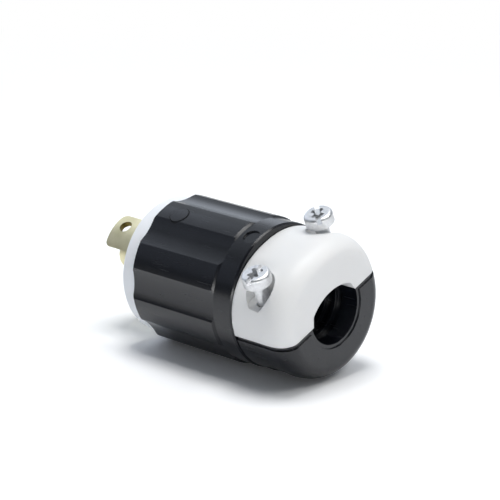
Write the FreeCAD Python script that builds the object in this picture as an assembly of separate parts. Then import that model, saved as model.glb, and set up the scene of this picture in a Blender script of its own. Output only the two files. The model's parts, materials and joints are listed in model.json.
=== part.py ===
import FreeCAD, Part
import math
import os
from FreeCAD import Rotation, Vector

# Locking power plug with two curved blades, a round earth pin and a two-jaw cord clamp.
# Lengths are millimetres and angles are degrees.
# The plug is drawn with its axis along X and the cord leaving towards +X. The origin is the
# centre of the flat face that meets the receptacle. The clamp jaws part on the XY plane.
# At the end everything is rolled about X, as the plug lies on a table on two of its ridges.
rest_angle = 22.5

# Fluted housing
collar_radius = 28.8
ridge_margin = 0.1
land_slope = 0.8
housing_length = 53.0
collar_length = 9.3
housing_wall = 3.6
rear_wall = 7.0
flute_count = 8
flute_angle = 25.0
flute_depth = 1.7
collar_edge = 0.6
front_edge = 0.5
badge_radius = 3.9
badge_height = 0.3
badge_setback = 10.6
thumb_radius = 3.4
thumb_depth = 0.7
thumb_setback = 4.2
mark_bearing = 3.5

# White contact block and its cover
flange_radius = 27.6
flange_reach = 7.9
flange_round = 2.0
block_length = 26.0
block_play = 0.2
cover_thickness = 3.0
wire_hole_radius = 5.0

# Curved blades and the earth pin
blade_radius = 16.5
blade_thickness = 2.4
blade_span = 57.0
blade_reach = 21.8
blade_corner = 2.3
blade_bearing = 107.3
blade_hole_radius = 2.65
blade_hole_setback = 5.6
blade_hole_bearing = -7.0
pin_radius = 7.0
pin_reach = 23.2
pin_round = 1.6
pin_standoff = 0.5
pin_stem_radius = 5.5
pin_seat_depth = 1.0
slot_play = 0.1

# Box lugs behind the blades, each with a set screw
lug_width = 13.0
lug_height = 11.0
lug_length = 15.0
lug_centre = 15.0
earth_lug_centre = 13.8
earth_foot = 2.5
lug_wire_radius = 3.6
lug_play = 0.3
set_screw_radius = 2.8
set_screw_length = 7.5
set_screw_proud = 1.4
set_screw_slot = 1.0
access_play = 0.7

# Two long screws that hold the housing on the block
assembly_edge = 3.9
assembly_bearing = 60.0
assembly_head_radius = 3.6
assembly_head_height = 2.4
assembly_head_depth = 3.4
assembly_radius = 1.8
assembly_slot = 1.0
post_radius = 4.2
insert_radius = 2.9
insert_length = 9.0
post_gap = 0.2
screw_play = 0.4
thread_play = 0.05

# Cord clamp: the outside of both jaws
jaw_radius = 28.4
jaw_end = 27.6
round_length = 9.4
round_drop = 6.0
crown_height = 25.7
front_fullness = 2.2
pocket_fullness = 2.35
shoulder_fullness = 2.55
end_fullness = 2.5
skirt = 3.0
upper_gap = 0.3
lower_gap = 0.8
parting_height = 1.3
lip_height = 1.9
lip_inset = 0.5

# Cord clamp: the way through
cord_radius = 13.4
arch_height = 9.0
arch_corner_width = 11.4
arch_corner_height = 5.2
hole_rim_width = 1.5
cavity_radius = 15.0
end_wall = 8.1
rib_count = 2
rib_width = 1.6
rib_pitch = 5.0
spigot_play = 0.2
spigot_radius = 19.7
spigot_reach = 9.3
bead_height = 1.2
bead_width = 2.0
bead_play = 0.4
seal_width = 3.0
seal_inner_radius = 13.6

# Clamp screws and nuts
screw_setback = 12.3
screw_spacing = 38.3
screw_head_top_near = 28.2
screw_head_top_far = 29.2
screw_head_height = 4.5
screw_head_radius = 5.7
screw_head_round = 1.3
screw_shank_radius = 2.75
screw_length = 34.5
screw_slot_width = 2.1
screw_slot_depth = 1.9
cross_width = 1.5
cross_length = 6.2
cross_depth = 3.0
slot_bearing_near = 98.0
slot_bearing_far = 134.0
pocket_radius = 6.4
pocket_floor = 14.2
shank_play = 0.35
nut_width = 9.5
nut_thickness = 3.2
nut_play = 0.2
nut_top = -6.0

# Places that follow from the sizes above
housing_front = flange_reach
housing_rear = housing_front + housing_length
collar_front = housing_rear - collar_length
land_radius = (collar_radius + ridge_margin) / math.cos(math.radians(flute_angle / 2))
chamber_radius = collar_radius - housing_wall
assembly_circle = chamber_radius - assembly_edge
chamber_rear = housing_rear - rear_wall
spigot_front = housing_rear - spigot_reach
bead_radius = spigot_radius + bead_height
block_rear = flange_reach + block_length
lug_front = block_rear - lug_length
cover_rear = block_rear + cover_thickness
jaw_rear = housing_rear + jaw_end
upper_front = housing_rear + upper_gap
lower_front = housing_rear + lower_gap
screw_x = housing_rear + screw_setback
axis_x = Vector(1, 0, 0)
axis_z = Vector(0, 0, 1)


def rod(radius, start, end, y=0.0, z=0.0):
    """A round rod along X from start to end."""
    return Part.makeCylinder(radius, end - start, Vector(start, y, z), axis_x)


def stud(radius, low, high, x, y):
    """A round stud along Z from low to high."""
    return Part.makeCylinder(radius, high - low, Vector(x, y, low), axis_z)


def block(x0, x1, y0, y1, z0, z1):
    """A box between two corners."""
    return Part.makeBox(x1 - x0, y1 - y0, z1 - z0, Vector(x0, y0, z0))


def below(height):
    """All the room under a level, as deep as the plug is wide."""
    reach = 2 * jaw_radius
    return block(-reach, jaw_rear + reach, -reach, reach, -reach, height)


def turned(points, centre_z=0.0):
    """A solid turned about an axis along X, from (x, radius) points that end on the axis."""
    corners = [Vector(x, 0, centre_z + radius) for x, radius in points]
    face = Part.Face(Part.makePolygon(corners + corners[:1]))
    return face.revolve(Vector(0, 0, centre_z), axis_x, 360)


def swung(shape, angle):
    """A copy turned about the plug's axis."""
    copy = shape.copy()
    copy.rotate(Vector(0, 0, 0), axis_x, angle)
    return copy


def flute_cutter():
    """A rod whose side cuts one hollow flute of the stated angle and depth."""
    half = math.radians(flute_angle / 2)
    chord = land_radius * math.sin(half)
    sag = flute_depth - land_radius * (1 - math.cos(half))
    radius = (chord ** 2 + sag ** 2) / (2 * sag)
    centre = land_radius - flute_depth + radius
    return rod(radius, housing_front - collar_edge, collar_front, z=centre)


def housing():
    """The black shell: fluted grip, plain collar, open front and a bored rear wall."""
    shell = turned([
        (housing_front, 0),
        (housing_front, land_radius - front_edge),
        (housing_front + front_edge, land_radius),
        (collar_front - land_slope, land_radius),
        (collar_front, collar_radius),
        (housing_rear - collar_edge, collar_radius),
        (housing_rear, collar_radius - collar_edge),
        (housing_rear, 0),
    ])
    cutter = flute_cutter()
    pitch = 360.0 / flute_count
    for index in range(flute_count):
        shell = shell.cut(swung(cutter, (index + 0.5) * pitch))
    shell = shell.cut(rod(chamber_radius, housing_front, chamber_rear))
    for bearing in assembly_bearings():
        post = rod(post_radius, cover_rear + post_gap, chamber_rear, z=assembly_circle)
        shell = shell.fuse(swung(post, bearing))
    shell = shell.cut(rod(spigot_radius + spigot_play, cover_rear, housing_rear))
    shell = shell.cut(rod(bead_radius + spigot_play, spigot_front - bead_play, chamber_rear))
    for bearing in assembly_bearings():
        start = cover_rear + post_gap
        insert_hole = rod(insert_radius, start, start + insert_length, z=assembly_circle)
        shell = shell.cut(swung(insert_hole, bearing))
    badge_x = housing_front + badge_setback
    badge_top = land_radius + badge_height
    badge = stud(badge_radius, chamber_radius + flute_depth, badge_top, badge_x, 0)
    badge = badge.common(rod(badge_top, housing_front, collar_front))
    shell = shell.fuse(swung(badge, mark_bearing))
    thumb_x = housing_rear - thumb_setback
    thumb = stud(thumb_radius, collar_radius - thumb_depth, land_radius, thumb_x, 0)
    return shell.cut(swung(thumb, mark_bearing)).removeSplitter()


def assembly_bearings():
    """Bearings about the axis of the two long screws, from the +Z direction."""
    first = blade_bearing - 90 + assembly_bearing
    return [first, first + 180]


def blade_bearings():
    """Bearings of the line and neutral blades, from the +Z direction."""
    return [blade_bearing - 90, blade_bearing + 90]


def earth_bearing():
    """The earth lug stands a quarter turn from the blades."""
    return blade_bearing


def arc_plate(inner, outer, span, start, end):
    """A plate bent round the axis, centred on +Z."""
    ring = rod(outer, start, end).cut(rod(inner, start, end))
    reach = 2 * outer
    half = math.radians(span / 2)
    side = reach * math.tan(half)
    corners = [
        Vector(start, 0, 0),
        Vector(start, side, reach),
        Vector(start, -side, reach),
        Vector(start, 0, 0),
    ]
    wedge = Part.Face(Part.makePolygon(corners)).extrude(Vector(end - start, 0, 0))
    return ring.common(wedge)


def blade():
    """One curved blade with rounded corners and its latching hole."""
    inner = blade_radius - blade_thickness
    plate = arc_plate(inner, blade_radius, blade_span, -blade_reach, lug_front)
    tips = [edge for edge in plate.Edges if is_tip_corner(edge)]
    plate = plate.makeFillet(blade_corner, tips)
    hole = stud(blade_hole_radius, 0, 2 * blade_radius, blade_hole_setback - blade_reach, 0)
    return plate.cut(swung(hole, blade_hole_bearing))


def is_tip_corner(edge):
    """True on the two short edges through the blade's thickness at its tip."""
    ends = [vertex.Point for vertex in edge.Vertexes]
    at_tip = all(abs(point.x + blade_reach) < 0.01 for point in ends)
    return at_tip and abs(edge.Length - blade_thickness) < 0.01


def earth_pin():
    """The round pin on the axis, with a rounded tip and a thinner stem inside the block."""
    pin = rod(pin_radius, -pin_reach, -pin_standoff)
    tip = [edge for edge in pin.Edges if abs(edge.CenterOfMass.x + pin_reach) < 0.01]
    pin = pin.makeFillet(pin_round, tip)
    return pin.fuse(rod(pin_stem_radius, -pin_standoff, lug_front)).removeSplitter()


def lug_box(centre, play=0.0):
    """The outside of a box lug that stands centre away from the axis, towards +Z."""
    wide = lug_width / 2 + play
    high = lug_height / 2 + play
    return block(lug_front, block_rear, -wide, wide, centre - high, centre + high)


def lug(centre):
    """A brass box lug: a hole for the wire and a threaded hole for its set screw."""
    body = lug_box(centre).cut(rod(lug_wire_radius, lug_front + earth_foot, block_rear, z=centre))
    top = centre + lug_height / 2
    middle = (lug_front + block_rear) / 2
    return body.cut(stud(set_screw_radius + thread_play, centre, top, middle, 0))


def earth_foot_box(play=0.0):
    """The foot that joins the earth lug to the end of the pin."""
    wide = lug_width / 2 + play
    top = earth_lug_centre
    return block(lug_front, lug_front + earth_foot + play, -wide, wide, -pin_radius - play, top)


def set_screw(centre):
    """A slotted set screw in the top of a lug."""
    middle = (lug_front + block_rear) / 2
    top = centre + lug_height / 2 + set_screw_proud
    screw = stud(set_screw_radius, top - set_screw_length, top, middle, 0)
    half = set_screw_slot / 2
    slot = block(middle - pin_radius, middle + pin_radius, -half, half, top - set_screw_slot, top)
    return screw.cut(slot)


def contact_block():
    """The white block: the flange that shows, and the body that carries the metal parts."""
    flange = rod(flange_radius, 0, flange_reach)
    rim = [edge for edge in flange.Edges if abs(edge.CenterOfMass.x) < 0.01]
    body = flange.makeFillet(flange_round, rim)
    body = body.fuse(rod(chamber_radius - block_play, flange_reach, block_rear))
    inner = blade_radius - blade_thickness - slot_play
    outer = blade_radius + slot_play
    slot_span = blade_span + math.degrees(2 * slot_play / inner)
    middle = (lug_front + block_rear) / 2
    access_radius = set_screw_radius + access_play
    lug_places = [(bearing, lug_centre) for bearing in blade_bearings()]
    lug_places.append((earth_bearing(), earth_lug_centre))
    for bearing in blade_bearings():
        body = body.cut(swung(arc_plate(inner, outer, slot_span, 0, lug_front), bearing))
    body = body.cut(rod(pin_radius + slot_play, 0, pin_seat_depth))
    body = body.cut(rod(pin_stem_radius + slot_play, 0, lug_front))
    body = body.cut(swung(earth_foot_box(lug_play), earth_bearing()))
    for bearing, centre in lug_places:
        body = body.cut(swung(lug_box(centre, lug_play), bearing))
        access = stud(access_radius, centre, chamber_radius, middle, 0)
        body = body.cut(swung(access, bearing))
    for bearing in assembly_bearings():
        head = rod(assembly_head_radius + screw_play, 0, assembly_head_depth, z=assembly_circle)
        hole = rod(assembly_radius + screw_play, 0, block_rear, z=assembly_circle)
        body = body.cut(swung(head.fuse(hole), bearing))
    return body.removeSplitter()


def terminal_cover():
    """The plate behind the lugs, with a hole for each wire and for each long screw."""
    plate = rod(chamber_radius - block_play, block_rear, cover_rear)
    lug_places = [(bearing, lug_centre) for bearing in blade_bearings()]
    lug_places.append((earth_bearing(), earth_lug_centre))
    for bearing, centre in lug_places:
        plate = plate.cut(swung(rod(wire_hole_radius, block_rear, cover_rear, z=centre), bearing))
    for bearing in assembly_bearings():
        hole = rod(assembly_radius + screw_play, block_rear, cover_rear, z=assembly_circle)
        plate = plate.cut(swung(hole, bearing))
    return plate


def assembly_screw():
    """A long slotted screw along the axis, its head sunk in the white face."""
    head_front = assembly_head_depth - assembly_head_height
    insert_end = cover_rear + post_gap + insert_length
    head = rod(assembly_head_radius, head_front, assembly_head_depth, z=assembly_circle)
    shank = rod(assembly_radius, assembly_head_depth, insert_end, z=assembly_circle)
    half = assembly_slot / 2
    reach = 2 * assembly_head_radius
    slot = block(head_front, head_front + assembly_slot, -reach, reach,
                 assembly_circle - half, assembly_circle + half)
    return head.fuse(shank).cut(slot)


def thread_insert():
    """A threaded brass sleeve pressed into a post of the housing."""
    start = cover_rear + post_gap
    sleeve = rod(insert_radius, start, start + insert_length, z=assembly_circle)
    hole = rod(assembly_radius + thread_play, start, start + insert_length, z=assembly_circle)
    return sleeve.cut(hole)


def rounded_end(radius, drop, length, front, rear):
    """A turned body whose rear edge is a quarter ellipse."""
    middle = Vector(rear - length, 0, radius - drop)
    along = middle + Vector(length, 0, 0)
    across = middle + Vector(0, 0, drop)
    if length >= drop:
        oval = Part.Ellipse(along, across, middle)
        quarter = Part.ArcOfEllipse(oval, 0, math.pi / 2).toShape()
    else:
        oval = Part.Ellipse(across, along, middle)
        quarter = Part.ArcOfEllipse(oval, -math.pi / 2, 0).toShape()
    sides = [
        (across, Vector(front, 0, radius)),
        (Vector(front, 0, radius), Vector(front, 0, 0)),
        (Vector(front, 0, 0), Vector(rear, 0, 0)),
        (Vector(rear, 0, 0), along),
    ]
    edges = [quarter] + [Part.makeLine(start, end) for start, end in sides]
    face = Part.Face(Part.Wire(Part.__sortEdges__(edges)))
    return face.revolve(Vector(0, 0, 0), axis_x, 360)


def cord_way(front):
    """The room inside a pair of jaws: the wide cavity, its grip ribs left standing."""
    cavity = rod(cavity_radius, front, jaw_rear - end_wall)
    for index in range(rib_count):
        rear = jaw_rear - end_wall - rib_pitch * (index + 1) + rib_width
        rib = rod(cavity_radius, rear - rib_width, rear).cut(rod(cord_radius, rear - rib_width, rear))
        cavity = cavity.cut(rib)
    return cavity


def arch_mouth():
    """The upper half of the cord hole: straight cheeks, small corners and a low arch."""
    start = jaw_rear - end_wall
    left = Vector(start, -arch_corner_width, arch_corner_height)
    right = Vector(start, arch_corner_width, arch_corner_height)
    crown = Vector(start, 0, arch_height)
    outline = [
        Part.makeLine(Vector(start, -cord_radius, 0), Vector(start, cord_radius, 0)),
        Part.makeLine(Vector(start, cord_radius, 0), right),
        Part.Arc(right, crown, left).toShape(),
        Part.makeLine(left, Vector(start, -cord_radius, 0)),
    ]
    face = Part.Face(Part.Wire(outline))
    return face.extrude(Vector(end_wall, 0, 0))


def shrunk(full, x):
    """A half width or height of the jaws at a station, less the rounding of their end."""
    past = x - (jaw_rear - round_length)
    if past <= 0:
        return full
    share = min(past / round_length, 1.0)
    return full - round_drop * (1 - math.sqrt(1 - share ** 2))


def jaw_stations():
    """Where the white jaw's sections stand, and how full the shoulders are there."""
    round_start = jaw_rear - round_length
    stations = [
        (upper_front, front_fullness),
        ((upper_front + screw_x) / 2, (front_fullness + pocket_fullness) / 2),
        (screw_x, pocket_fullness),
        (round_start, shoulder_fullness),
    ]
    for bearing in (25, 45, 62, 76, 90):
        x = round_start + round_length * math.sin(math.radians(bearing))
        fullness = shoulder_fullness + (end_fullness - shoulder_fullness) * bearing / 90
        stations.append((x, fullness))
    return stations


def spaced(points, count):
    """Some of the points of a line, at equal steps along it."""
    gone = [0.0]
    for first, second in zip(points, points[1:]):
        gone.append(gone[-1] + (second - first).Length)
    kept = []
    index = 0
    for step in range(count):
        share = step / (count - 1)
        while gone[index] < gone[-1] * share:
            index += 1
        kept.append(points[index])
    return kept


def jaw_section(x, fullness):
    """One section of the white jaw: a full-shouldered arch on straight sides."""
    wide = shrunk(jaw_radius, x)
    high = shrunk(crown_height, x)
    fine = []
    for step in range(1601):
        angle = math.pi * step / 1600
        across = math.copysign(abs(math.cos(angle)) ** (2 / fullness), math.cos(angle))
        up = abs(math.sin(angle)) ** (2 / fullness)
        fine.append(Vector(x, wide * across, high * up))
    points = spaced(fine, 31)
    arch = Part.BSplineCurve()
    arch.interpolate(Points=points, InitialTangent=axis_z, FinalTangent=-axis_z)
    right = Vector(x, wide, -skirt)
    left = Vector(x, -wide, -skirt)
    return Part.Wire([
        Part.makeLine(right, points[0]),
        arch.toShape(),
        Part.makeLine(points[-1], left),
        Part.makeLine(left, right),
    ])


def upper_jaw():
    """The white jaw: a lofted crown with full shoulders, two screw pockets, and the arch."""
    sections = [jaw_section(x, fullness) for x, fullness in jaw_stations()]
    jaw = Part.makeLoft(sections, True, False, False)
    jaw = jaw.cut(below(parting_height)).cut(cord_way(upper_front)).cut(arch_mouth())
    for side in (-1, 1):
        y = side * screw_spacing / 2
        jaw = jaw.cut(stud(pocket_radius, pocket_floor, jaw_radius, screw_x, y))
        hole_radius = screw_shank_radius + shank_play
        jaw = jaw.cut(stud(hole_radius, parting_height, pocket_floor, screw_x, y))
    return jaw.removeSplitter()


def lower_jaw():
    """The black jaw, its stepped lip, and the spigot that snaps into the housing."""
    skin = rounded_end(jaw_radius, round_drop, round_length, lower_front, jaw_rear)
    jaw = skin.common(below(parting_height - lip_height))
    core = rounded_end(jaw_radius - lip_inset, round_drop, round_length,
                       lower_front + lip_inset, jaw_rear - lip_inset)
    jaw = jaw.fuse(core.common(below(parting_height)))
    neck = rod(spigot_radius, housing_rear, lower_front + lip_inset)
    jaw = jaw.fuse(neck.common(below(parting_height - lip_height)))
    ring = rod(spigot_radius, spigot_front, housing_rear)
    bead = rod(bead_radius, spigot_front, spigot_front + bead_width)
    jaw = jaw.fuse(ring).fuse(bead)
    jaw = jaw.cut(rod(cavity_radius, spigot_front, lower_front)).cut(cord_way(lower_front))
    jaw = jaw.cut(rod(cord_radius, jaw_rear - end_wall, jaw_rear))
    rim = cord_radius + hole_rim_width
    jaw = jaw.cut(rod(rim, jaw_rear - lip_inset, jaw_rear))
    for side in (-1, 1):
        y = side * screw_spacing / 2
        jaw = jaw.cut(stud(screw_shank_radius + screw_play, nut_top, parting_height, screw_x, y))
        half = nut_width / 2 + nut_play
        jaw = jaw.cut(block(screw_x - half, screw_x + half, y - half, y + half,
                            -jaw_radius, nut_top))
    return jaw.removeSplitter()


def cord_seal():
    """A rubber ring inside the spigot that keeps dust out round the cord."""
    rear = housing_rear - collar_edge
    ring = rod(cavity_radius - thread_play, rear - seal_width, rear)
    return ring.cut(rod(seal_inner_radius, rear - seal_width, rear))


def clamp_screw(side, head_top, slot_bearing):
    """A thick-headed screw with a slot and a cross recess, backed out of its pocket."""
    y = side * screw_spacing / 2
    head_underside = head_top - screw_head_height
    head = stud(screw_head_radius, head_underside, head_top, screw_x, y)
    rim = [edge for edge in head.Edges if abs(edge.CenterOfMass.z - head_top) < 0.01]
    head = head.makeFillet(screw_head_round, rim)
    screw = head.fuse(stud(screw_shank_radius, head_underside - screw_length, head_underside,
                           screw_x, y))
    centre = Vector(screw_x, y, 0)
    reach = 2 * screw_head_radius
    half = screw_slot_width / 2
    slot = block(screw_x - reach, screw_x + reach, y - half, y + half,
                 head_top - screw_slot_depth, head_top)
    recess = slot
    for turn in (45, 135):
        arm = block(screw_x - cross_length / 2, screw_x + cross_length / 2,
                    y - cross_width / 2, y + cross_width / 2,
                    head_top - cross_depth, head_top)
        arm.rotate(centre, axis_z, turn)
        recess = recess.fuse(arm)
    recess.rotate(centre, axis_z, slot_bearing)
    return screw.cut(recess).removeSplitter()


def clamp_nut(side):
    """The square nut held in a pocket under the black jaw."""
    y = side * screw_spacing / 2
    half = nut_width / 2
    low = nut_top - nut_thickness
    body = block(screw_x - half, screw_x + half, y - half, y + half, low, nut_top)
    return body.cut(stud(screw_shank_radius + thread_play, low, nut_top, screw_x, y))


def all_parts():
    """Every piece by name, in the order it goes on the bench."""
    line, neutral = blade_bearings()
    first, second = assembly_bearings()
    earth = earth_bearing()
    earth_lug = lug(earth_lug_centre).fuse(earth_foot_box()).removeSplitter()
    return {
        "housing": housing(),
        "contact_block": contact_block(),
        "terminal_cover": terminal_cover(),
        "blade_line": swung(blade(), line),
        "blade_neutral": swung(blade(), neutral),
        "earth_pin": earth_pin(),
        "lug_line": swung(lug(lug_centre), line),
        "lug_neutral": swung(lug(lug_centre), neutral),
        "lug_earth": swung(earth_lug, earth),
        "set_screw_line": swung(set_screw(lug_centre), line),
        "set_screw_neutral": swung(set_screw(lug_centre), neutral),
        "set_screw_earth": swung(set_screw(earth_lug_centre), earth),
        "assembly_screw_upper": swung(assembly_screw(), first),
        "assembly_screw_lower": swung(assembly_screw(), second),
        "thread_insert_upper": swung(thread_insert(), first),
        "thread_insert_lower": swung(thread_insert(), second),
        "cord_seal": cord_seal(),
        "lower_jaw": lower_jaw(),
        "upper_jaw": upper_jaw(),
        "clamp_screw_near": clamp_screw(-1, screw_head_top_near, slot_bearing_near),
        "clamp_screw_far": clamp_screw(1, screw_head_top_far, slot_bearing_far),
        "clamp_nut_near": clamp_nut(-1),
        "clamp_nut_far": clamp_nut(1),
    }


os.makedirs("parts", exist_ok=True)
for name, shape in all_parts().items():
    placed = swung(shape, rest_angle)
    placed.exportStep("parts/" + name + ".step")
    print(name, "solids", len(placed.Solids), "valid", placed.isValid(), "volume", round(placed.Volume, 1))
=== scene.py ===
# %% [markdown]
# # A locking power plug on a white table
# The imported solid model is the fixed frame: its pieces stay where they are. This lesson gives
# each of them a material, adds the two fine threads that a solid model leaves plain, and
# lights the plug as a studio would.

# %% Load the frame
import bmesh
import bpy
import json
import math
from mathutils import Matrix, Vector


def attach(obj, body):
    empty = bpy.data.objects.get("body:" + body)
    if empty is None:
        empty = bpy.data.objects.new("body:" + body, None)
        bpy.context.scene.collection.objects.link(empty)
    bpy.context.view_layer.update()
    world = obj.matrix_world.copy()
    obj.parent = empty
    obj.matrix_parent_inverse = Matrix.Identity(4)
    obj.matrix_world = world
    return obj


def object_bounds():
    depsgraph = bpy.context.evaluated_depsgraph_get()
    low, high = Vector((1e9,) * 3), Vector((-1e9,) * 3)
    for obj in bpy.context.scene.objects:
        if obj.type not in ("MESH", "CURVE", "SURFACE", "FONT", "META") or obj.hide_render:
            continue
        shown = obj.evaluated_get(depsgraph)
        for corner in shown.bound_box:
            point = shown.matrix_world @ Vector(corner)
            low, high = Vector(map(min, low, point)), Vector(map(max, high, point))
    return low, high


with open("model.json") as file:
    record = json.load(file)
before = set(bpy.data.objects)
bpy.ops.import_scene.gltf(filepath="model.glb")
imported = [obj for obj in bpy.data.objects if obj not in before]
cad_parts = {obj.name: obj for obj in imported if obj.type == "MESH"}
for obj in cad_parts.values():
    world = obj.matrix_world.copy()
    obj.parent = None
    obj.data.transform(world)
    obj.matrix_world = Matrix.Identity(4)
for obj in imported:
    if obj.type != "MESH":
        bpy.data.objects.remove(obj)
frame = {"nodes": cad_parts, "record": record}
cad_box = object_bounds()
MM = 0.001
print("nodes", len(frame["nodes"]))
print("cad box", cad_box)

# %% [markdown]
# ## Colours and shader nodes
# A finish is a small network of shader nodes. Colours are written as sRGB hex, the way a
# picture shows them, and one function turns them into the linear values that shaders expect.
# Another adds a node with its settings and its links, so that a finish reads like a recipe.


# %% Colours
def linear(hex_colour):
    """Turns an sRGB hex colour into linear RGBA."""
    out = []
    for start in (0, 2, 4):
        value = int(hex_colour[start:start + 2], 16) / 255
        out.append(value / 12.92 if value <= 0.04045 else ((value + 0.055) / 1.055) ** 2.4)
    return (*out, 1.0)


print("middle grey is linear", round(linear("808080")[0], 3))


# %% Shader nodes
def add(tree, kind, settings=None, **links):
    """Adds a shader node. Settings go on its attributes or sockets, links join sockets."""
    node = tree.nodes.new("ShaderNode" + kind)
    for name, value in (settings or {}).items():
        if hasattr(node, name):
            setattr(node, name, value)
        else:
            node.inputs[name].default_value = value
    for name, source in links.items():
        socket = node.inputs[name.replace("_", " ")]
        tree.links.new(source, socket)
    return node


def principled(name, colour, roughness, metallic=0.0):
    """A new material: its tree, its Principled shader and its object coordinates."""
    material = bpy.data.materials.new(name)
    material.use_nodes = True
    tree = material.node_tree
    tree.nodes.clear()
    shader = add(tree, "BsdfPrincipled", {
        "Base Color": linear(colour),
        "Roughness": roughness,
        "Metallic": metallic,
        "Specular IOR Level": 0.5,
    })
    add(tree, "OutputMaterial", Surface=shader.outputs[0])
    where = add(tree, "TexCoord").outputs["Object"]
    return material, tree, shader, where


# %% [markdown]
# ## Noise, tones and bumps
# No moulded or plated surface is even. Noise moves the roughness and the colour between two
# close values, and a very low bump breaks the reflections. Object coordinates are metres, so a
# noise scale of 1000 is one cycle per millimetre. A stretched noise gives lines along the axis.
# Mould edges are never knife sharp, and a Bevel node rounds them for the light alone, which
# leaves the solid as it is.


# %% Recipes for a surface
def noise(tree, where, scale, detail):
    """A noise factor."""
    node = add(tree, "TexNoise", {"Scale": scale, "Detail": detail}, Vector=where)
    return node.outputs["Fac"]


def drawn_lines(tree, where, along, across, detail):
    """A noise factor stretched along the plug's axis, as scratches and drawing lines are."""
    drawn = add(tree, "Mapping", {"Scale": (along, across, across)}, Vector=where)
    return noise(tree, drawn.outputs[0], 1.0, detail)


def ramp(tree, source, low, high):
    """Maps a factor from 0 to 1 onto a range of values."""
    node = add(tree, "MapRange", {"To Min": low, "To Max": high}, Value=source)
    return node.outputs["Result"]


def tones(tree, source, first, second):
    """A colour that a factor moves from a first tone, hex or a socket, to a second one."""
    shade = add(tree, "Mix", {"data_type": "RGBA"})
    tree.links.new(source, shade.inputs["Factor"])
    colours = [socket for socket in shade.inputs if socket.type == "RGBA"]
    if isinstance(first, str):
        colours[0].default_value = linear(first)
    else:
        tree.links.new(first, colours[0])
    colours[1].default_value = linear(second)
    return [socket for socket in shade.outputs if socket.type == "RGBA"][0]


def bumped(tree, shader, height, strength, distance, edge=None):
    """Bumps the surface. An edge radius also rounds its sharp edges for the light."""
    bump = add(tree, "Bump", {"Strength": strength, "Distance": distance}, Height=height)
    if edge is not None:
        rounded = add(tree, "Bevel", {"samples": 4, "Radius": edge})
        tree.links.new(rounded.outputs[0], bump.inputs["Normal"])
    tree.links.new(bump.outputs[0], shader.inputs["Normal"])


# %% [markdown]
# ## Round masks
# A round insert in the mould leaves a fine line round the front mark, and the wall of the
# blade's hole is painted darker, as painted shade in the hole. Neither needs more geometry:
# each is a mask in the material, which asks how far a point lies from the mark's or the hole's
# axis. The axis points outwards from the plug's own, at a bearing from straight up towards the
# near side.


# %% Sums on sockets
def vector_math(tree, operation, first, second=None):
    """One vector operation on a socket, and on a fixed vector where it takes two."""
    node = add(tree, "VectorMath", {"operation": operation})
    tree.links.new(first, node.inputs[0])
    if second is not None:
        node.inputs[1].default_value = second
    return node


def number_math(tree, operation, first, second=0.0):
    """One number operation on a socket, and on a second socket or a fixed number."""
    node = add(tree, "Math", {"operation": operation})
    tree.links.new(first, node.inputs[0])
    if isinstance(second, float):
        node.inputs[1].default_value = second
    else:
        tree.links.new(second, node.inputs[1])
    return node.outputs[0]


# %% Ring mask
def ring_mask(tree, where, along, bearing, radius, beyond, core, rim):
    """A factor of 1 on a ring, and 0 elsewhere. Lengths are in millimetres.

    The ring is full for core to each side of its radius and fades out at rim. It is only
    there further out from the plug's axis than beyond."""
    axis = (0.0, -math.sin(bearing), math.cos(bearing))
    local = vector_math(tree, "SUBTRACT", where, (along * MM, 0, 0)).outputs["Vector"]
    across = vector_math(tree, "CROSS_PRODUCT", local, axis).outputs["Vector"]
    away = vector_math(tree, "LENGTH", across).outputs["Value"]
    height = vector_math(tree, "DOT_PRODUCT", local, axis).outputs["Value"]
    outer = number_math(tree, "GREATER_THAN", height, beyond * MM)
    miss = number_math(tree, "SUBTRACT", away, radius * MM)
    width = number_math(tree, "ABSOLUTE", miss)
    line = add(tree, "MapRange", {"From Min": core * MM, "From Max": rim * MM, "To Min": 1.0,
                                  "To Max": 0.0, "interpolation_type": "SMOOTHSTEP"},
               Value=width)
    return number_math(tree, "MULTIPLY", line.outputs["Result"], outer)


# %% [markdown]
# ## Black nylon
# The grip, the collar and the lower jaw are one glossy moulding material, near black. Its
# broad flow marks show only as a change of gloss. Hands and benches leave rare fine scuffs
# along the grip: the tops of a stretched noise, added to the roughness.

# %% Black nylon of the housing and the lower jaw
MARK_X = 18.5
MARK_LINE_RADIUS = 4.0
MARK_BEARING = math.radians(26.0)
INSIDE_THE_GRIP = 26.0


def black_nylon():
    """Glossy moulded nylon with flow marks, rare scuffs and the line round the front mark."""
    material, tree, shader, where = principled("black_nylon_satin", "0E1016", 0.22)
    flow = noise(tree, where, 60.0, 3.0)
    streaks = drawn_lines(tree, where, 60.0, 1000.0, 2.0)
    scuffs = add(tree, "MapRange", {"From Min": 0.65, "From Max": 0.78, "To Min": 0.0,
                                    "To Max": 0.25}, Value=streaks)
    worn = number_math(tree, "ADD", ramp(tree, flow, 0.16, 0.28), scuffs.outputs["Result"])
    line = ring_mask(tree, where, MARK_X, MARK_BEARING, MARK_LINE_RADIUS, INSIDE_THE_GRIP,
                     core=0.12, rim=0.38)
    tree.links.new(number_math(tree, "MAXIMUM", worn, line), shader.inputs["Roughness"])
    tree.links.new(tones(tree, flow, "0B0D13", "12141A"), shader.inputs["Base Color"])
    bumped(tree, shader, noise(tree, where, 900.0, 4.0), 0.08, 0.0001, edge=0.0003)
    return material


print("front mark's line", 2 * MARK_LINE_RADIUS, "mm across")

# %% [markdown]
# ## White nylon
# The flange and the upper jaw are white nylon with a soft sheen. Light goes a little way into
# it and comes out again, which subsurface scattering does, and that keeps its shadows soft.
# The flange's nylon is a colder white than the jaw's, so one recipe takes two tones.


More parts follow.
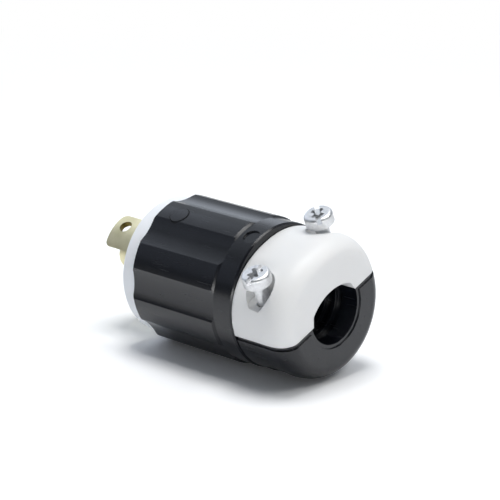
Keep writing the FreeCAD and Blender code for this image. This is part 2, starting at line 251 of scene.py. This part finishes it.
# %% White nylon of the flange and the upper jaw
def white_nylon(name, colour, paler):
    """Moulded nylon with a soft sheen, between two close whites."""
    material, tree, shader, where = principled(name, colour, 0.46)
    shader.inputs["Subsurface Weight"].default_value = 0.25
    shader.inputs["Subsurface Scale"].default_value = 0.003
    shader.inputs["Subsurface Radius"].default_value = (1.0, 0.95, 0.9)
    flow = noise(tree, where, 45.0, 2.0)
    tree.links.new(ramp(tree, flow, 0.4, 0.54), shader.inputs["Roughness"])
    tree.links.new(tones(tree, flow, colour, paler), shader.inputs["Base Color"])
    bumped(tree, shader, noise(tree, where, 700.0, 4.0), 0.06, 0.0001, edge=0.0004)
    return material


# %% [markdown]
# ## Brass
# The blades and the pin are pale brass. Strip and rod are drawn along the axis, which leaves
# fine lines, and air leaves an uneven tarnish that is duller and darker in patches. The wall
# of the punched hole is painted dark brown, as painted shade in the hole: the darkest place.

# %% Pale brass of the contacts
HOLE_X = -16.2
HOLE_RADIUS = 2.65
HOLE_BEARING = math.radians(32.8)
INSIDE_THE_BLADE = 14.0


def pale_brass():
    """Pale stamped brass, drawn along the axis, tarnished, with painted shade on the hole's
    wall.
    """
    material, tree, shader, where = principled("pale_brass_stamped", "E0D8AC", 0.42, 1.0)
    tarnish = noise(tree, where, 160.0, 6.0)
    tree.links.new(ramp(tree, tarnish, 0.3, 0.6), shader.inputs["Roughness"])
    # The hole's wall is painted dark brown: painted shade in the hole.
    painted_hole_shade = ring_mask(tree, where, HOLE_X, HOLE_BEARING, HOLE_RADIUS, INSIDE_THE_BLADE,
                     core=0.03, rim=0.1)
    plain = tones(tree, tarnish, "C9BF8E", "F5EFD2")
    tree.links.new(tones(tree, painted_hole_shade, plain, "75683A"), shader.inputs["Base Color"])
    bumped(tree, shader, drawn_lines(tree, where, 40.0, 1500.0, 3.0), 0.3, 0.00006)
    return material


print("hole in the blade", 2 * HOLE_RADIUS, "mm across")

# %% [markdown]
# ## Zinc plate, grey nylon and rubber
# The screws and nuts are steel with a satin zinc plate, mottled where the plate is thicker.
# The cover inside is matte grey nylon, and the ring that seals the cord hole is black rubber.
# All three are one fine noise that moves the tone and the bump, so one function makes them.


# %% Plain finishes
def grained(name, colour, roughness, metallic, grain, first, second, strength, distance):
    """A finish with one fine grain, given as its noise scale and detail."""
    material, tree, shader, where = principled(name, colour, roughness, metallic)
    factor = noise(tree, where, *grain)
    tree.links.new(tones(tree, factor, first, second), shader.inputs["Base Color"])
    bumped(tree, shader, factor, strength, distance)
    return material, tree, shader, factor


def zinc_plate():
    """Satin zinc plate, whose gloss is as mottled as its tone."""
    material, tree, shader, mottle = grained(
        "zinc_plate_satin", "D8D9DA", 0.45, 1.0, (900.0, 5.0), "C4C5C7", "ECEDEE", 0.25, 0.00008)
    tree.links.new(ramp(tree, mottle, 0.3, 0.5), shader.inputs["Roughness"])
    return material


def grey_nylon():
    """Matte grey nylon of the cover inside."""
    return grained("grey_nylon_matte", "3A3B3D", 0.6, 0.0, (800.0, 3.0), "363739", "3F4042",
                   0.1, 0.0001)[0]


def seal_rubber():
    """Soft black rubber of the cord seal."""
    return grained("soft_black_rubber", "0D0D0E", 0.7, 0.0, (600.0, 3.0), "0B0B0C", "101011",
                   0.15, 0.0001)[0]


# %% Give every node its material
finishes = {
    "black_nylon": black_nylon(),
    "white_nylon": white_nylon("white_nylon_satin", "EAEAE9", "F0F0EF"),
    "grey_nylon": grey_nylon(),
    "brass_contacts": pale_brass(),
    "plated_steel": zinc_plate(),
    "seal_rubber": seal_rubber(),
}
slots = {entry["node"]: entry["material_slot"] for entry in frame["record"]["subparts"]}
cool_white = white_nylon("cool_white_nylon_satin", "F2F5F9", "F8FBFF")
for name, node in frame["nodes"].items():
    for slot in node.material_slots:
        slot.material = cool_white if name == "contact_block" else finishes[slots[name]]
print("materials", {name: slots[name] for name in sorted(slots)})

# %% [markdown]
# ## Threads of the clamp screws
# The clamp screws are threaded up from the tip, where the nuts hold them. A thread is a small
# wedge carried round the shank while it climbs: the spin operator does both when it is given
# an upward step. It stays inside the shank hole. The wedge is made where the axis is upright,
# and then goes to its screw, rolled with the plug, because the plug lies on two of its ridges.

# %% Thread sizes
ROLL = math.radians(22.5)
SCREW_X = 73.2
SCREW_SPACING = 38.3
SCREW_TIPS = {"near": -10.8, "far": -9.8}
TIP_GAP = 0.1
SHANK_RADIUS = 2.75
THREAD_ROOT = 0.1
THREAD_HEIGHT = 0.24
THREAD_PITCH = 1.25
THREAD_FLANKS = (0.42, 0.5, 0.92)
THREAD_STEPS = 28
THREAD_TURNS = 15
print("thread length", THREAD_PITCH * THREAD_TURNS, "mm")


# %% One thread
def screw_thread(name, side, low):
    """A helical ridge round one clamp screw's shank, from its tip upwards."""
    thread = bmesh.new()
    root = SHANK_RADIUS - THREAD_ROOT
    crest = SHANK_RADIUS + THREAD_HEIGHT
    crest_low, crest_high, root_high = (low + share * THREAD_PITCH for share in THREAD_FLANKS)
    wedge = [(root, low), (crest, crest_low), (crest, crest_high), (root, root_high)]
    corners = [thread.verts.new((radius, 0, height)) for radius, height in wedge]
    start = thread.faces.new(corners)
    bmesh.ops.spin(thread, geom=[start], cent=(0, 0, 0), axis=(0, 0, 1),
                   dvec=(0, 0, THREAD_PITCH / THREAD_STEPS), angle=2 * math.pi * THREAD_TURNS,
                   steps=THREAD_STEPS * THREAD_TURNS, use_duplicate=False)
    bmesh.ops.recalc_face_normals(thread, faces=thread.faces)
    place = (Matrix.Rotation(ROLL, 4, "X")
             @ Matrix.Translation((SCREW_X, side * SCREW_SPACING / 2, 0)))
    bmesh.ops.transform(thread, matrix=Matrix.Scale(MM, 4) @ place, verts=thread.verts)
    data = bpy.data.meshes.new(name)
    thread.to_mesh(data)
    thread.free()
    piece = bpy.data.objects.new(name, data)
    bpy.context.scene.collection.objects.link(piece)
    data.materials.append(finishes["plated_steel"])
    for polygon in data.polygons:
        polygon.use_smooth = False
    print(name, "faces", len(data.polygons))
    return piece


# %% Two threads, riding with the plug
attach(screw_thread("thread_near", -1, SCREW_TIPS["near"] + TIP_GAP), "plug")
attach(screw_thread("thread_far", 1, SCREW_TIPS["far"] + TIP_GAP), "plug")

# %% [markdown]
# ## Table
# A satin white table top fills the view, and its own shader lights the plug and keeps the
# plug's shadow. Rays from the camera, glossy rays and transmission rays see a lifted white
# instead, still with the shadow near the plug, and plain white further away. That gives a
# white background without more light on the plug.

# %% White table top
TABLE_HALF = 6.0
LIFTED_WHITE = 1.12
PLAIN_FROM = 0.25
PLAIN_TO = 0.6


def white_table():
    """A satin white table top, whiter to the eye and in reflections than as a light."""
    material, tree, shader, where = principled("white_table_satin", "EBECEE", 0.42)
    path = add(tree, "LightPath")
    seen = number_math(tree, "MAXIMUM", path.outputs["Is Camera Ray"],
                       path.outputs["Is Glossy Ray"])
    through = number_math(tree, "MAXIMUM", seen, path.outputs["Is Transmission Ray"])
    lifted = add(tree, "BsdfDiffuse", {"Color": (LIFTED_WHITE, LIFTED_WHITE, LIFTED_WHITE, 1.0)})
    plain = add(tree, "Emission", {"Color": (1.0, 1.0, 1.0, 1.0), "Strength": 1.0})
    far = add(tree, "MapRange", {"From Min": PLAIN_FROM, "From Max": PLAIN_TO,
                                 "interpolation_type": "SMOOTHSTEP"},
              Value=vector_math(tree, "LENGTH", where).outputs["Value"])
    top = add(tree, "MixShader", Fac=far.outputs["Result"])
    tree.links.new(lifted.outputs[0], top.inputs[1])
    tree.links.new(plain.outputs[0], top.inputs[2])
    both = add(tree, "MixShader", Fac=through)
    tree.links.new(shader.outputs[0], both.inputs[1])
    tree.links.new(top.outputs[0], both.inputs[2])
    output = [node for node in tree.nodes if node.type == "OUTPUT_MATERIAL"][0]
    tree.links.new(both.outputs[0], output.inputs["Surface"])
    return material


floor_z = cad_box[0][2]
table_mesh = bmesh.new()
bmesh.ops.create_grid(table_mesh, x_segments=1, y_segments=1, size=TABLE_HALF,
                      matrix=Matrix.Translation((0, 0, floor_z)))
table_data = bpy.data.meshes.new("table")
table_mesh.to_mesh(table_data)
table_mesh.free()
table = bpy.data.objects.new("table", table_data)
table_data.materials.append(white_table())
bpy.context.scene.collection.objects.link(table)
print("table at", floor_z)

# %% [markdown]
# ## Lamps
# A black gloss part is lit by what it reflects. One soft lamp overhead makes the shadow, low
# ones in front draw the bright bands on the lower flutes and the jaw, and cooler ones behind
# and to the left fill the upper flutes. Each is a rectangle that faces the plug.

# %% Lamps
WHITE = "FFFFFF"
COOL = "E0EAFF"
PALE_COOL = "E8F0FF"
LAMPS = [
    # name, place, width, height, watts, colour
    ("overhead", (0.02, 0.08, 1.2), 0.5, 0.5, 8.6, WHITE),
    ("backdrop", (-0.88, 0.93, 0.47), 1.1, 0.46, 1.0, PALE_COOL),
    ("back_left", (-1.1, 0.1, 0.7), 0.8, 0.6, 1.5, COOL),
    ("left_front", (-0.75, -0.8, 0.55), 0.8, 0.6, 0.4, COOL),
    ("front_low", (0.95, -1.0, 0.05), 1.6, 0.14, 5.4, WHITE),
    ("right_low", (1.35, 0.1, 0.1), 0.8, 0.25, 1.2, WHITE),
    ("right_high", (0.65, 0.28, 0.9), 0.5, 0.4, 2.8, WHITE),
]
middle = (Vector(cad_box[0]) + Vector(cad_box[1])) / 2
for name, place, width, height, power, colour in LAMPS:
    data = bpy.data.lights.new(name, "AREA")
    data.shape = "RECTANGLE"
    data.size = width
    data.size_y = height
    data.energy = power
    data.color = linear(colour)[:3]
    lamp = bpy.data.objects.new(name, data)
    lamp.location = place
    lamp.rotation_euler = (middle - Vector(place)).to_track_quat("-Z", "Y").to_euler()
    bpy.context.scene.collection.objects.link(lamp)
print("lamps", len(LAMPS))

# %% [markdown]
# ## Room
# The world is a dim cool room that brightens smoothly towards one side, behind the plug and to
# its left. A dot product with that direction says how far a ray looks that way.

# %% Room light
BRIGHT_SIDE = (-0.68, 0.68, 0.27)
DIM = 0.1
BRIGHT = 0.72
world = bpy.data.worlds.new("studio")
world.use_nodes = True
bpy.context.scene.world = world
tree = world.node_tree
tree.nodes.clear()
sky = add(tree, "TexCoord")
facing = vector_math(tree, "DOT_PRODUCT", sky.outputs["Generated"], BRIGHT_SIDE)
level = add(tree, "MapRange", {"From Min": 0.0, "From Max": 0.95, "To Min": DIM,
                               "To Max": BRIGHT, "interpolation_type": "SMOOTHSTEP"},
            Value=facing.outputs["Value"])
room = add(tree, "Background", {"Color": (0.84, 0.91, 1.0, 1.0)},
           Strength=level.outputs["Result"])
add(tree, "OutputWorld", Surface=room.outputs[0])
print("room strength", DIM, "to", BRIGHT)

# %% [markdown]
# ## Camera
# The camera stands 42 degrees round, 18.7 degrees up and 870 millimetres away, where the
# photograph's perspective puts it. The lens makes one length, about the collar's radius, a
# known number of pixels wide, and the aim puts the end of the collar's axis on its own pixel.

# %% Camera at the photograph's angle
AZIMUTH = math.radians(42.0)
ELEVATION = math.radians(18.7)
VIEW_UNIT = 29.0 * MM
UNITS_AWAY = 30
PIXELS_PER_UNIT = 74.8
PICTURE = 500
COLLAR_END = (281.8, 294.9)
SENSOR = 36.0
HOUSING_REAR = 60.9
toward = Vector((math.sin(AZIMUTH) * math.cos(ELEVATION),
                 -math.cos(AZIMUTH) * math.cos(ELEVATION),
                 math.sin(ELEVATION)))
right = Vector((math.cos(AZIMUTH), math.sin(AZIMUTH), 0))
up = toward.cross(right)
collar_rear = Vector((HOUSING_REAR * MM, 0, 0))
pixel = VIEW_UNIT / PIXELS_PER_UNIT
aim = (collar_rear - right * (COLLAR_END[0] - PICTURE / 2) * pixel
       + up * (COLLAR_END[1] - PICTURE / 2) * pixel)

camera_data = bpy.data.cameras.new("camera")
camera_data.sensor_width = SENSOR
camera_data.lens = SENSOR * PIXELS_PER_UNIT * UNITS_AWAY / PICTURE
camera = bpy.data.objects.new("camera", camera_data)
camera.location = collar_rear + toward * UNITS_AWAY * VIEW_UNIT
back = (camera.location - aim).normalized()
side = Vector((0, 0, 1)).cross(back).normalized()
above = back.cross(side)
camera.matrix_world = Matrix((
    (side.x, above.x, back.x, camera.location.x),
    (side.y, above.y, back.y, camera.location.y),
    (side.z, above.z, back.z, camera.location.z),
    (0, 0, 0, 1),
))
bpy.context.scene.collection.objects.link(camera)
bpy.context.scene.camera = camera
bpy.context.scene.view_settings.view_transform = "Standard"
print("lens", camera_data.lens, "camera at", tuple(camera.location))
